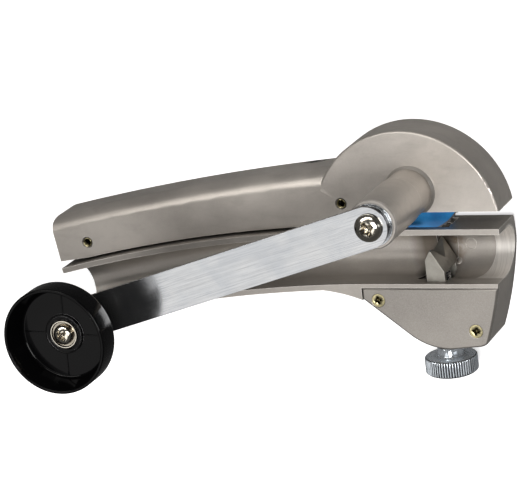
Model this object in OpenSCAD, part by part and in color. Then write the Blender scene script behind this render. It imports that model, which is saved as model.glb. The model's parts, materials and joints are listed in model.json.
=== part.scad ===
// Hand-cranked stripper for flexible armoured cable.
// A C-shaped trough holds the cable, a hinged lever carries the crank and its slitting blade,
// and a thumbscrew drives a pointed jaw that pins the cable under the blade.
// The tool lies on its back: X runs along the trough, Z points out of the front, and the
// origin is where the crank axis meets the resting plane.

/* [Trough] */
// Inside diameter of the cable channel
channel_d = 23; // [22.5:0.1:23.4]
// Thickness of the channel wall
channel_wall = 2.6; // [2.4:0.1:2.8]
// Distance from the back of the channel to the front edges of its lips
channel_depth = 27; // [26.5:0.1:27.5]
// Height of the crank axis above the flat deck on top of the channel
deck_drop = 16.5; // [16.2:0.1:16.8]
// Radius of the long bend towards the channel's left end
bend_r = 700; // [680:5:720]
// Distance from the crank axis to the start of the bend
bend_start = 20; // [18:0.5:22]
// Distance from the crank axis to the channel's left end
trough_left = 178; // [177:0.5:180]
// Distance from the crank axis to the channel's right end
trough_right = 41.75; // [41.5:0.05:42]

/* [Lever] */
// Thickness of the lever and the guard, back to front
lever_depth = 22; // [21.5:0.1:22.4]
// Wall thickness of the lever casting
lever_wall = 2.5; // [2.4:0.1:2.6]
// Height of the rounded front edge along the top of the lever
lever_round_h = 7; // [6:0.5:8]
// Angle at which that rounding meets the front face, in degrees
lever_crease = 12; // [8:1:14]
// Radius of the arc along the top of the lever
lever_top_r = 1175; // [1170:1:1180]
// Distance from the crank axis to the lever's left end
lever_left = 183; // [182:0.5:184]
// Gap between the closed lever and the deck
lever_gap = 1.2; // [1.1:0.1:1.4]
// How far the lever opens, in degrees
lever_swing = 4; // [3:0.5:4]

/* [Guard] */
// Radius of the half-moon blade guard
guard_r = 44.6; // [44.4:0.1:45]
// Gap between the guard's straight lower edge and the deck
guard_gap = 6.7; // [6.4:0.1:7]
// Radius of the outer part of the crank boss
boss_r = 11.2; // [11:0.1:11.5]
// Distance from the resting plane to the end of the crank boss
boss_end = 72.5; // [71:0.5:74]

/* [Crank] */
// Distance between the crank axis and the knob axis
crank_len = 149.5; // [145:0.5:154]
// Angle of the crank arm below the trough's direction, in degrees
crank_angle = 16.5; // [10:0.5:20]
// Width of the crank arm
arm_w = 19; // [18:0.5:20]
// Thickness of the crank arm
arm_t = 2; // [1.8:0.1:2.2]
// Radius of the crankshaft in its front bearing
shaft_r = 5; // [4.8:0.1:5.2]
// Radius of the blade at the tips of its teeth
blade_r = 22.4; // [22:0.1:22.6]
// Thickness of the blade
blade_t = 1; // [0.9:0.05:1.1]
// Number of teeth on the blade
blade_teeth = 48; // [36:1:60]

/* [Knob] */
// Radius of the knob's cup
knob_r = 24.7; // [24:0.1:25.5]
// Distance from the resting plane to the knob's rim
knob_front = 108.5; // [107:0.5:110]
// Depth of the hollow in the knob
cup_depth = 11.8; // [11:0.1:12.5]

/* [Clamp] */
// Position of the thumbscrew along the trough
clamp_x = 8.4; // [8:0.1:8.8]
// Radius of the knurled thumbscrew head
thumb_r = 12.2; // [11.5:0.1:12.8]
// Number of grooves around the thumbscrew head
thumb_grooves = 60; // [48:1:66]
// Radius of the thumbscrew's threaded stud
stud_r = 3.95; // [3.9:0.05:4]
// Width of the clamp jaw
jaw_w = 8.8; // [8.6:0.1:9]
// Thickness of the cover over the clamp housing
cover_t = 3; // [2.8:0.1:3.2]

/* [Hidden] */

$fn = 64;
hole_gap = 0.05;    // radial clearance of a plain hole round its screw
run_gap = 0.03;     // radial clearance of a running bearing
over = 1;           // how far a cutting shape passes the surface that it cuts
sliver = 0.01;      // overlap that joins two stacked shapes
big = 80;           // larger than anything it cuts

cast_zinc = [0.6, 0.57, 0.54];
plated_steel = [0.78, 0.79, 0.8];
yellow_zinc = [0.8, 0.7, 0.42];
bronze = [0.66, 0.5, 0.3];

// Trough
outer_r = channel_d / 2 + channel_wall;
channel_y = -deck_drop - outer_r;
channel_floor = channel_y - channel_d / 2;
bend_angle = asin((trough_left - bend_start) / bend_r);
deck_back = 3.8;            // where the deck's back edge turns down
end_r = 180;                // the trough's right end is an arc of this radius
end_y = -9.1;               // height of that arc's centre
bend_fn = 720;

// Clamp housing
cover_z = channel_depth - cover_t;
clamp_top = channel_floor - 2.1;
clamp_left = 26.4;
clamp_tip_y = -49.4;
belly_c = [13.5, -43.4];
belly_r = 30;
belly_angle = 232;          // where the housing's slanted side meets its round belly
corner_c = [26.6, -65.7];
corner_r = 6.4;
neck_r = 76.7;              // hollow curve from the trough into the housing
neck_x = -54;
cover_screw_at = [[-19, -50], [26.1, -64.5]];
screw_r = 1.6;
screw_head_r = 3.2;
cover_screw_length = 12;
back_head_r = 2.6;
back_screw_length = 7;
clamp_z = outer_r;
pocket_floor = -66;
housing_floor = belly_c[1] - belly_r;
insert_r = 6.5;
insert_top = pocket_floor - 1.5;
jaw_gap = 0.25;

// Blade window in the deck
blade_z = 11.5;
window_r = blade_r + 1.4;
window_back = 8.5;
window_mid = 14.4;
window_front = 23.2;
window_half = 17;

// Lever
lever_c = [64.3, -1160];    // centre of the arc along the lever's top
lever_round_r = lever_round_h / (1 - sin(lever_crease));
pivot = [-165, -23.2];
guide = [-33.6, -5.5];
guide_r = norm(guide - pivot);
guide_angle = atan2(guide[1] - pivot[1], guide[0] - pivot[0]);
pin_r = 2.1;
pin_head_r = 4.2;
pin_length = 18.4;
pin_back = 0.2;             // how deep the heads of the two pins sit in the lever's back
lug_r = 6;
pivot_lug_z = [8, 14];
guide_lug_z = [10, 14];
inner_z = [lever_wall, lever_depth - lever_wall];
guard_c = [-3.2, -deck_drop];
guard_bottom = -deck_drop + guard_gap;
guard_wall = 2.6;
guard_soft = 1.3;           // radius of the guard's rounded rims
guard_left = -8;            // where the lever's lower edge steps up to the guard's
end_corner_r = 4;
end_corner_x = end_corner_r - lever_left;
end_corner_y = -14.6;
end_lean = 8;
back_cover_t = 2.2;
back_cover_r = guard_r - 1.7;
back_post_r = 3.2;
back_post_reach = back_cover_r - 3.6;
back_post_angles = [22, 90, 158];
boss_step = 39;
boss_root_r = 10.7;
boss_inner = 17;
bushing_r = 7;
bushing_start = 48;
rear_journal_r = 3.5;
rear_bushing_r = 5.5;
rear_boss_r = 6.6;
rear_skin = 0.8;            // metal left behind the rear bearing

// Crank
flange_z = blade_z + blade_t;
flange_t = 2.3;
flange_r = 9;
seat_r = 4;
nut_t = 4;
washer_t = 1.5;
arm_z = boss_end + 2.3;
arm_front = arm_z + arm_t;
crank_screw_r = 2.5;
crank_head_r = 6.3;
crank_head_h = 3.4;
crank_screw_length = 12;
knob_at = crank_len * [-cos(crank_angle), -sin(crank_angle)];
knob_floor = knob_front - cup_depth;
hub_r = 8.5;
sleeve_r = 4;
sleeve_flange_r = 6.5;
knob_screw_r = 2.5;
knob_head_r = 4.6;
knob_head_h = 2.6;
knob_nut_t = 3;

// Thumbscrew and jaw
thumb_top = -80.2;
thumb_t = 8;
thumb_neck_r = 5.9;
thumb_neck_top = -75.7;
thumb_skin = 2;             // metal left under the stud in the thumbscrew's head
stud_top = -38.7;
jaw_z = [4.6, 23.4];
jaw_bottom = -47;
jaw_web_t = 2;
jaw_leg_t = 2;
clip_t = 0.8;
clip_groove_r = 3.4;

// A screw with a flush conical head, its flat top at z = 0 and its shank pointing down
module flush_screw(r, head_r, length) {
    difference() {
        union() {
            translate([0, 0, -head_r + r]) cylinder(r1 = r, r2 = head_r, h = head_r - r);
            translate([0, 0, -length]) cylinder(r = r, h = length - head_r + r + sliver);
        }
        cross_recess(head_r);
    }
}

// A screw with a domed head standing on z = 0 and its shank pointing down
module pan_screw(r, head_r, head_h, length) {
    dome_r = (head_r * head_r + head_h * head_h) / (2 * head_h) * 1.06;
    difference() {
        union() {
            intersection() {
                translate([0, 0, head_h - dome_r]) sphere(r = dome_r);
                cylinder(r = head_r, h = head_h);
            }
            translate([0, 0, -length]) cylinder(r = r, h = length + 0.1);
        }
        translate([0, 0, head_h]) cross_recess(head_r);
    }
}

// The cross-shaped driver recess of a screw whose head ends at z = 0
module cross_recess(head_r) {
    for (turn = [0, 90]) rotate([0, 0, turn])
        translate([-head_r / 2, -head_r / 9, -head_r / 3]) cube([head_r, head_r / 4.5, head_r / 3 + over]);
}

// A flat ring standing on z = 0
module ring(r, bore, h) {
    difference() {
        cylinder(r = r, h = h);
        translate([0, 0, -over]) cylinder(r = bore, h = h + 2 * over);
    }
}

// Runs a profile along the trough: profile x is height above the deck, profile y is depth
module along_trough() {
    translate([-bend_start, -deck_drop, 0])
        rotate([90, 0, 90]) linear_extrude(bend_start + trough_right) children();
    translate([-bend_start, -deck_drop - bend_r, 0])
        rotate([0, 0, 90]) rotate_extrude(angle = bend_angle, $fn = bend_fn)
            translate([bend_r, 0]) children();
}

module trough_outer_profile() {
    foot_z = 1.2;
    foot_y = -8.4;
    translate([-outer_r, outer_r]) circle(r = outer_r, $fn = 64);
    translate([-2 * outer_r, outer_r]) square([2 * outer_r, channel_depth - outer_r]);
    polygon([[0, outer_r], [0, deck_back + 1], [-1, deck_back], [foot_y, foot_z], [-outer_r, outer_r]]);
}

module channel_profile() {
    translate([-outer_r, outer_r]) circle(r = channel_d / 2, $fn = 64);
    translate([-outer_r - channel_d / 2, outer_r]) square([channel_d, channel_depth]);
}

// Everything to the left of the trough's slightly rounded right end
module end_disc() {
    translate([trough_right - end_r, end_y]) circle(r = end_r, $fn = 360);
}

// Outline of the clamp housing and its cover
module clamp_outline(grow = 0) {
    spoke = (belly_r + grow) * [cos(belly_angle), sin(belly_angle)];
    intersection() {
        union() {
            polygon([[-clamp_left - grow, clamp_top + grow], [trough_right, clamp_top + grow],
                [corner_c[0] + corner_r + 2, corner_c[1]], corner_c - [0, corner_r + grow],
                belly_c - [0, belly_r + grow], belly_c + spoke, [-clamp_left - grow, clamp_tip_y - grow]]);
            intersection() {
                translate(belly_c) circle(r = belly_r + grow);
                polygon([belly_c - [0, belly_r / 2], belly_c + spoke, belly_c + 2 * spoke,
                    belly_c - [0, 2 * belly_r]]);
            }
            translate(corner_c) circle(r = corner_r + grow);
        }
        end_disc();
    }
}

// Flat back behind the jaw, which the tool rests on
module flat_back() {
    low = clamp_top - over;
    linear_extrude(0.9 * outer_r) polygon([[-bend_start, channel_y], [-1.3 * clamp_left, low],
        [trough_right, low], [trough_right, channel_y]]);
}

// Hollow curve that blends the underside of the trough into the housing
module neck_outline() {
    difference() {
        translate([neck_x, clamp_tip_y - over])
            square([-clamp_left - neck_x, clamp_top - clamp_tip_y + over]);
        translate([neck_x, channel_floor - channel_wall - neck_r]) circle(r = neck_r, $fn = 180);
    }
}

// Lug that the lever hinges on, and the slotted lug that limits how far it opens
module trough_lugs() {
    lug_base = 10;
    lug_margin = 1.7;   // degrees of lug past the slot's end
    translate([0, 0, pivot_lug_z[0]]) linear_extrude(pivot_lug_z[1] - pivot_lug_z[0]) {
        translate(pivot) circle(r = lug_r);
        translate(pivot - [lug_r, lug_base]) square([2 * lug_r, lug_base]);
    }
    translate([pivot[0], pivot[1], guide_lug_z[0]]) rotate([0, 0, -over])
        rotate_extrude(angle = guide_angle + lever_swing + lug_margin + over, $fn = bend_fn)
            translate([guide_r - lug_r, 0]) square([2 * lug_r, guide_lug_z[1] - guide_lug_z[0]]);
}

module lug_holes() {
    slot_r = pin_r + 0.25;
    translate([pivot[0], pivot[1], 0]) cylinder(r = pin_r + hole_gap, h = lever_depth);
    translate([pivot[0], pivot[1], guide_lug_z[0] - over]) {
        rotate([0, 0, guide_angle]) rotate_extrude(angle = lever_swing, $fn = bend_fn)
            translate([guide_r - slot_r, 0]) square([2 * slot_r, 3 * lug_r]);
        for (turn = [0, lever_swing]) rotate([0, 0, guide_angle + turn])
            translate([guide_r, 0, 0]) cylinder(r = slot_r, h = 3 * lug_r);
    }
}

// Opening in the deck for the blade, with a sloping front side
module blade_window() {
    translate([0, 0, window_back]) cylinder(r = window_r, h = window_mid - window_back);
    translate([-window_half, 0, 0]) rotate([90, 0, 90]) linear_extrude(2 * window_half)
        polygon([[-deck_drop + over, window_mid - over],
            [-deck_drop - channel_wall - over, window_mid - over],
            [-deck_drop - channel_wall - over, window_mid - 0.5], [-deck_drop - channel_wall, window_mid],
            [-deck_drop, window_front], [-deck_drop + over, window_front]]);
}

// Guide pocket for the jaw, open at the front under the cover, and the bore for the thread insert
module jaw_pocket() {
    half = jaw_w / 2 + jaw_gap;
    relief_x = [-8.4, 19.1];
    relief_slant = 5;
    relief_depth = 1.2;
    groove_depth = 1.5;
    translate([clamp_x - half, pocket_floor, jaw_z[0] - jaw_gap]) {
        cube([2 * half, clamp_top - pocket_floor, big]);
        cube([2 * half, channel_y - pocket_floor, jaw_z[1] - jaw_z[0] + 2 * jaw_gap]);
    }
    intersection() {
        translate([clamp_x + relief_x[0] - 2 * relief_slant, channel_y, clamp_z]) rotate([0, 90, 0])
            cylinder(r = channel_d / 2 + relief_depth, h = relief_x[1] - relief_x[0] + 4 * relief_slant);
        translate([clamp_x, -deck_drop, 0]) rotate([90, 0, 0]) linear_extrude(big) polygon([
            [relief_x[0] + relief_slant, 0], [relief_x[0] - relief_slant, 2 * clamp_z],
            [relief_x[1] - relief_slant, 2 * clamp_z], [relief_x[1] + relief_slant, 0]]);
    }
    translate([clamp_x - half, channel_y, clamp_z]) rotate([0, 90, 0])
        cylinder(r = channel_d / 2 + groove_depth, h = 2 * half);
    translate([clamp_x, housing_floor - over, clamp_z]) rotate([-90, 0, 0])
        cylinder(r = insert_r + hole_gap, h = insert_top - housing_floor + over);
    translate([clamp_x, housing_floor - over, clamp_z]) rotate([-90, 0, 0])
        cylinder(r = stud_r + 0.6, h = pocket_floor - housing_floor + 2 * over);
}

// Hollows that keep the housing casting thin, left and right of the jaw pocket
module housing_hollows() {
    floor_z = 3;
    translate([0, 0, floor_z]) linear_extrude(big) {
        polygon([[-11, -47], [1, -47], [1, -66.5], [-3.5, -65], [-11, -58.8]]);
        polygon([[16, -47], [34, -47], [30.5, -59], [21, -60], [21, -69.5], [16, -70]]);
    }
}

module trough_body() {
    color(cast_zinc) difference() {
        intersection() {
            union() {
                along_trough() trough_outer_profile();
                linear_extrude(cover_z) clamp_outline();
                translate([0, 0, 0.6 * outer_r])
                    linear_extrude(channel_depth - 0.6 * outer_r) neck_outline();
                flat_back();
                trough_lugs();
            }
            linear_extrude(channel_depth + over) end_disc();
        }
        along_trough() channel_profile();
        translate([0, 0, cover_z]) linear_extrude(big) clamp_outline(0.15);
        blade_window();
        jaw_pocket();
        housing_hollows();
        lug_holes();
        for (at = cover_screw_at) translate([at[0], at[1], channel_depth / 2])
            cylinder(r = screw_r + hole_gap, h = channel_depth);
    }
}

module clamp_cover() {
    bevel = 0.7;
    color(cast_zinc) difference() {
        hull() {
            translate([0, 0, cover_z + hole_gap]) linear_extrude(cover_t - bevel) clamp_outline();
            translate([0, 0, cover_z + hole_gap]) linear_extrude(cover_t - hole_gap)
                offset(delta = -bevel) clamp_outline();
        }
        for (at = cover_screw_at) translate([at[0], at[1], channel_depth]) {
            translate([0, 0, -2 * cover_t]) cylinder(r = screw_r + 0.2, h = 3 * cover_t);
            translate([0, 0, -screw_head_r + screw_r]) cylinder(r1 = screw_r + 0.1, r2 = screw_head_r + 0.1,
                h = screw_head_r - screw_r + sliver);
        }
    }
}

module cover_screws() {
    color(yellow_zinc) for (at = cover_screw_at)
        translate([at[0], at[1], channel_depth - hole_gap])
            flush_screw(screw_r, screw_head_r, cover_screw_length);
}

module thread_insert() {
    color(bronze) translate([clamp_x, housing_floor + 0.2, clamp_z]) rotate([-90, 0, 0])
        ring(insert_r, stud_r + hole_gap, insert_top - housing_floor - 0.2);
}

// Inverted U of the lever: x is height below the arc along its top, y is depth
module lever_profile(inset) {
    skirt = 45;
    round_z = lever_depth - lever_round_r * cos(lever_crease);
    translate([-skirt, inset]) square([skirt - inset, round_z - inset]);
    intersection() {
        translate([-skirt, inset]) square([skirt, lever_depth - 2 * inset]);
        union() {
            translate([-skirt, inset]) square([skirt - lever_round_r, lever_depth]);
            translate([-lever_round_r, round_z]) circle(r = lever_round_r - inset, $fn = 64);
        }
    }
}

module lever_sweep(inset) {
    from = asin((lever_c[0] + 20) / lever_top_r);
    to = asin((lever_c[0] + lever_left + 12) / lever_top_r);
    translate(lever_c) rotate([0, 0, 90 + from])
        rotate_extrude(angle = to - from, $fn = bend_fn) translate([lever_top_r, 0]) lever_profile(inset);
}

// Outline of the lever's left end, square to the lever there, with its rounded upper corner
module lever_end_outline(inset) {
    corner = end_corner_r - inset;
    translate([end_corner_x, end_corner_y]) rotate([0, 0, end_lean]) {
        circle(r = corner);
        translate([-corner, -big]) square([lever_left, big]);
        translate([0, -big]) square([lever_left, 2 * big]);
    }
}

// Disc with softened rims, from the resting plane up
module guard_disc(r, soft) {
    rotate_extrude($fn = 180) {
        translate([0, soft]) square([r, lever_depth - 2 * soft]);
        square([r - soft, lever_depth]);
        for (z = [soft, lever_depth - soft]) translate([r - soft, z]) circle(r = soft, $fn = 32);
    }
}

// Everything under the lever and the guard
module below_lever() {
    heel_drop = 7.3;
    relief = 3.1;
    translate([0, 0, -over]) linear_extrude(lever_depth + 2 * over) {
        translate([-bend_start, -deck_drop - bend_r]) circle(r = bend_r + lever_gap, $fn = bend_fn);
        translate([-bend_start, -big]) square([big, big - deck_drop + lever_gap]);
        translate([guard_left, -big]) square([big, big + guard_bottom]);
        polygon([[pivot[0], pivot[1] - heel_drop], [-lever_left - 4, pivot[1] - heel_drop - relief],
            [-lever_left - 4, -big], [pivot[0], -big]]);
    }
}

module back_posts(r, h) {
    for (angle = back_post_angles)
        translate([guard_c[0], guard_c[1], 0] + back_post_reach * [cos(angle), sin(angle), 0])
            cylinder(r = r, h = h);
}

// Half-moon outline of the plate that closes the guard at the back
module back_cover_outline(grow = 0) {
    intersection() {
        translate(guard_c) circle(r = back_cover_r + grow, $fn = 180);
        translate([-big, guard_bottom + 3 - grow]) square([2 * big, big]);
    }
}

module crank_boss() {
    chamfer = 0.6;
    fillet = 1.3;
    translate([0, 0, boss_inner]) cylinder(r = boss_root_r, h = boss_step - boss_inner);
    translate([0, 0, lever_depth]) cylinder(r1 = boss_root_r + fillet, r2 = boss_root_r, h = fillet);
    translate([0, 0, boss_step]) cylinder(r = boss_r, h = boss_end - boss_step - chamfer);
    translate([0, 0, boss_end - chamfer]) cylinder(r1 = boss_r, r2 = boss_r - chamfer, h = chamfer);
}

module lever_shell() {
    post_top = 9;
    mouth = 0.8;        // chamfer of the two tapped holes
    color(cast_zinc) difference() {
        union() {
            difference() {
                union() {
                    intersection() {
                        lever_sweep(0);
                        linear_extrude(lever_depth) lever_end_outline(0);
                    }
                    translate(guard_c) guard_disc(guard_r, guard_soft);
                }
                intersection() {
                    lever_sweep(lever_wall);
                    linear_extrude(lever_depth) lever_end_outline(lever_wall);
                }
                translate([guard_c[0], guard_c[1], inner_z[0]])
                    cylinder(r = guard_r - guard_wall, h = inner_z[1] - inner_z[0], $fn = 180);
            }
            intersection() {
                back_posts(back_post_r, post_top);
                translate(guard_c) cylinder(r = guard_r - 1, h = post_top);
            }
            crank_boss();
        }
        below_lever();
        translate([0, 0, -over]) linear_extrude(back_cover_t + over + hole_gap) back_cover_outline(0.1);
        translate([0, 0, -over]) linear_extrude(lever_wall + 2 * over) difference() {
            back_cover_outline(-1.5);
            for (angle = back_post_angles)
                translate(guard_c + back_post_reach * [cos(angle), sin(angle)]) circle(r = back_post_r);
        }
        back_posts(screw_r + hole_gap, post_top - over);
        translate([0, 0, -over]) cylinder(r = rear_boss_r + 0.3, h = inner_z[0] + 2 * over);
        translate([0, 0, boss_inner - over]) cylinder(r = shaft_r + 1, h = boss_end);
        translate([0, 0, bushing_start]) cylinder(r = bushing_r + hole_gap, h = boss_end);
        for (at = [pivot, guide]) translate([at[0], at[1], -over]) {
            cylinder(r = pin_r + hole_gap, h = lever_depth + 2 * over);
            cylinder(r1 = pin_head_r + 0.3 + over, r2 = pin_r + hole_gap,
                h = pin_head_r - pin_r + 0.3 + over);
            translate([0, 0, over + lever_depth - mouth]) cylinder(r1 = pin_r, r2 = pin_r + mouth + over,
                h = mouth + over);
        }
    }
}

module guard_back_cover() {
    color(cast_zinc) difference() {
        union() {
            linear_extrude(back_cover_t) back_cover_outline();
            cylinder(r = rear_boss_r, h = 5);
        }
        translate([0, 0, rear_skin]) cylinder(r = rear_bushing_r + hole_gap, h = 5);
        back_posts(screw_r + 0.2, back_cover_t + over);
        translate([guide[0], guide[1], -over]) cylinder(r = pin_head_r + 0.4, h = back_cover_t + 2 * over);
        translate([0, 0, -sliver]) for (angle = back_post_angles)
            translate([guard_c[0], guard_c[1], 0] + back_post_reach * [cos(angle), sin(angle), 0])
                cylinder(r1 = back_head_r + 0.1, r2 = screw_r + 0.1, h = 1.2);
    }
}

module back_cover_screws() {
    color(yellow_zinc) for (angle = back_post_angles)
        translate([guard_c[0], guard_c[1], hole_gap] + back_post_reach * [cos(angle), sin(angle), 0])
            mirror([0, 0, 1]) flush_screw(screw_r, back_head_r, back_screw_length);
}

module boss_bushing() {
    color(bronze) translate([0, 0, bushing_start + 0.1])
        ring(bushing_r, shaft_r + run_gap, boss_end - bushing_start - 0.2);
}

module rear_bushing() {
    color(bronze) translate([0, 0, rear_skin + 0.1]) ring(rear_bushing_r, rear_journal_r + run_gap, 4);
}

// Screw through the lever from the back, whose plain shank is a pin
module lever_pin(at) {
    color(yellow_zinc) translate([at[0], at[1], pin_back]) mirror([0, 0, 1])
        flush_screw(pin_r, pin_head_r, pin_length);
}

module pivot_screw() {
    lever_pin(pivot);
}

module guide_screw() {
    lever_pin(guide);
}

// The two rings that centre the pivot lug inside the lever
module pivot_spacers() {
    gap = 0.15;
    for (span = [[inner_z[0] + gap, pivot_lug_z[0] - gap], [pivot_lug_z[1] + gap, inner_z[1] - gap]])
        color(plated_steel) translate([pivot[0], pivot[1], span[0]])
            ring(4.5, pin_r + hole_gap, span[1] - span[0]);
}

// Flats on the crankshaft's end, which the crank arm fits over
module drive_end(r, h) {
    intersection() {
        cylinder(r = r, h = h);
        translate([-r, -0.78 * r, 0]) cube([2 * r, 1.56 * r, h]);
    }
}

module crank_shaft() {
    journal_start = rear_skin + 0.2;
    seat_start = 5.8;
    color(plated_steel) difference() {
        union() {
            translate([0, 0, journal_start]) cylinder(r = rear_journal_r, h = seat_start - journal_start);
            translate([0, 0, seat_start]) cylinder(r = seat_r, h = flange_z - seat_start);
            translate([0, 0, flange_z]) cylinder(r = flange_r, h = flange_t);
            translate([0, 0, flange_z]) cylinder(r = shaft_r, h = arm_z - flange_z);
            translate([0, 0, arm_z]) drive_end(seat_r, arm_t - 0.2);
        }
        translate([0, 0, arm_z - 14]) cylinder(r = crank_screw_r + hole_gap, h = big);
    }
}

// Disc blade with fine saw teeth
module cutter_blade() {
    tooth_h = 0.9;
    step = 360 / blade_teeth;
    color([0.13, 0.33, 0.6]) translate([0, 0, blade_z]) difference() {
        linear_extrude(blade_t) polygon([for (i = [0:blade_teeth - 1]) for (tip = [0, 1])
            (blade_r - (1 - tip) * tooth_h) * [cos(step * (i + 0.3 * tip)), sin(step * (i + 0.3 * tip))]]);
        translate([0, 0, -over]) cylinder(r = seat_r + hole_gap, h = blade_t + 2 * over);
    }
}

module blade_washer() {
    color(plated_steel) translate([0, 0, blade_z - washer_t]) ring(flange_r, seat_r + hole_gap, washer_t);
}

module blade_nut() {
    color(plated_steel) translate([0, 0, blade_z - washer_t - nut_t]) difference() {
        cylinder(r = 7.2, h = nut_t, $fn = 6);
        translate([0, 0, -over]) cylinder(r = seat_r + hole_gap, h = nut_t + 2 * over);
    }
}

module flat_washer() {
    color(plated_steel) translate([0, 0, boss_end + 0.1]) ring(9.8, shaft_r + hole_gap, 1);
}

module spring_washer() {
    color(plated_steel) translate([0, 0, boss_end + 1.2]) ring(9.2, shaft_r + hole_gap, 1);
}

module crank_arm() {
    near_end = 1;
    color(plated_steel) translate([0, 0, arm_z]) rotate([0, 0, 180 + crank_angle]) difference() {
        linear_extrude(arm_t) {
            translate([near_end, -arm_w / 2]) square([crank_len - near_end, arm_w]);
            translate([near_end, 0]) circle(r = arm_w / 2);
            translate([crank_len, 0]) circle(r = arm_w / 2);
        }
        translate([0, 0, -over]) rotate([0, 0, -180 - crank_angle])
            drive_end(seat_r + hole_gap, arm_t + 2 * over);
        translate([crank_len, 0, -over]) cylinder(r = knob_screw_r + hole_gap, h = arm_t + 2 * over);
    }
}

module crank_screw() {
    color(plated_steel) translate([0, 0, arm_front])
        pan_screw(crank_screw_r, crank_head_r, crank_head_h, crank_screw_length);
}

module knob_sleeve() {
    flange_t = 1.2;
    color(plated_steel) translate([knob_at[0], knob_at[1], arm_front]) difference() {
        union() {
            cylinder(r = sleeve_r, h = knob_floor + 0.2 + flange_t - arm_front);
            translate([0, 0, knob_floor + 0.2 - arm_front]) cylinder(r = sleeve_flange_r, h = flange_t);
        }
        translate([0, 0, -over]) cylinder(r = knob_screw_r + hole_gap, h = big);
    }
}

module knob_screw() {
    head_z = knob_floor + 1.4;
    color(plated_steel) translate([knob_at[0], knob_at[1], head_z])
        pan_screw(knob_screw_r, knob_head_r, knob_head_h, head_z - arm_z + knob_nut_t + 0.5);
}

module knob_nut() {
    color(plated_steel) translate([knob_at[0], knob_at[1], arm_z - knob_nut_t]) difference() {
        cylinder(r = 4.6, h = knob_nut_t, $fn = 6);
        translate([0, 0, -over]) cylinder(r = knob_screw_r + hole_gap, h = knob_nut_t + 2 * over);
    }
}

// Cup-shaped knob with a narrow hub behind it
module crank_knob() {
    hub_z = arm_front + 0.8;
    rim = 0.8;
    wall_back = knob_front - cup_depth - 0.2;
    outside = [[hub_r, hub_z], [hub_r, wall_back - 6], [hub_r + 2.5, wall_back - 4.2],
        [knob_r - 3, wall_back - 1.4], [knob_r, wall_back + 0.8], [knob_r, knob_front - rim]];
    inside = [[knob_r - 2 * rim, knob_front - rim],
        [knob_r - 3.9, knob_floor + 1], [knob_r - 4.9, knob_floor],
        [sleeve_r + run_gap, knob_floor], [sleeve_r + run_gap, hub_z]];
    color([0.06, 0.06, 0.07]) translate([knob_at[0], knob_at[1], 0]) rotate_extrude($fn = 96) {
        polygon(concat(outside, inside));
        translate([knob_r - rim, knob_front - rim]) circle(r = rim, $fn = 24);
    }
}

// Pointed jaw: a roof-shaped head with a V across it, two legs and a web that the stud turns in
module clamp_jaw() {
    half = jaw_w / 2;
    peak = [-1.2, -27.9];
    left_eave = -32.2;
    right_eave = -37.5;
    ridge_rise = 4;     // slope of the ridge towards the back, in degrees
    valley = [outer_r, -33.5];
    depth = jaw_z[1] - jaw_z[0];
    color([0.62, 0.6, 0.56]) difference() {
        union() {
            intersection() {
                translate([clamp_x, peak[1], jaw_z[1]]) rotate([ridge_rise, 0, 0])
                    translate([0, -peak[1], -big]) linear_extrude(2 * big) polygon([
                        [-half, -big], [-half, left_eave], [peak[0] - 0.7, peak[1]], [peak[0], peak[1]],
                        [half, right_eave], [half, -big]]);
                translate([clamp_x - half, stud_top, jaw_z[0]]) cube([jaw_w, big, depth]);
            }
            for (z = [jaw_z[0], jaw_z[1] - jaw_leg_t]) translate([clamp_x - half, jaw_bottom, z])
                cube([jaw_w, stud_top - jaw_bottom + 0.1, jaw_leg_t]);
            translate([clamp_x - half, jaw_bottom, jaw_z[0]]) cube([jaw_w, jaw_web_t, depth]);
        }
        rotate([90, 0, 90]) linear_extrude(big)
            polygon([[valley[1], valley[0]],
                [peak[1] + 3, jaw_z[1] + over], [peak[1] + 3, jaw_z[0] - over]]);
        translate([clamp_x, jaw_bottom - over, clamp_z]) rotate([-90, 0, 0])
            cylinder(r = stud_r + hole_gap, h = jaw_web_t + 2 * over);
    }
}

module clamp_stud() {
    groove_y = jaw_bottom - clip_t - 0.15;
    foot_y = thumb_top - thumb_t + thumb_skin;
    color(plated_steel) translate([clamp_x, 0, clamp_z]) rotate([-90, 0, 0]) difference() {
        translate([0, 0, foot_y]) cylinder(r = stud_r, h = stud_top - 0.1 - foot_y);
        translate([0, 0, groove_y]) ring(stud_r + over, clip_groove_r, clip_t + 0.1);
    }
}

// Knurled head of the thumbscrew with its smooth neck
module clamp_knob() {
    bevel = 1;
    groove = 0.45;
    step = 360 / thumb_grooves;
    color(plated_steel) translate([clamp_x, thumb_top - thumb_t, clamp_z]) rotate([-90, 0, 0]) difference() {
        union() {
            intersection() {
                linear_extrude(thumb_t) polygon([for (i = [0:thumb_grooves - 1]) for (tip = [0, 1])
                    (thumb_r - (1 - tip) * groove)
                        * [cos(step * (i + 0.5 * tip)), sin(step * (i + 0.5 * tip))]]);
                rotate_extrude() polygon([[0, 0], [thumb_r - bevel, 0], [thumb_r + over, bevel + over],
                    [thumb_r + over, thumb_t - groove - over], [thumb_r - groove, thumb_t], [0, thumb_t]]);
            }
            cylinder(r = thumb_neck_r, h = thumb_neck_top - thumb_top + thumb_t);
        }
        translate([0, 0, thumb_skin - 0.1]) cylinder(r = stud_r + hole_gap, h = big);
    }
}

module stud_clip() {
    color(plated_steel) translate([clamp_x, jaw_bottom - clip_t - 0.1, clamp_z]) rotate([-90, 0, 0])
        ring(stud_r + 0.4, clip_groove_r + hole_gap, clip_t);
}

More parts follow.
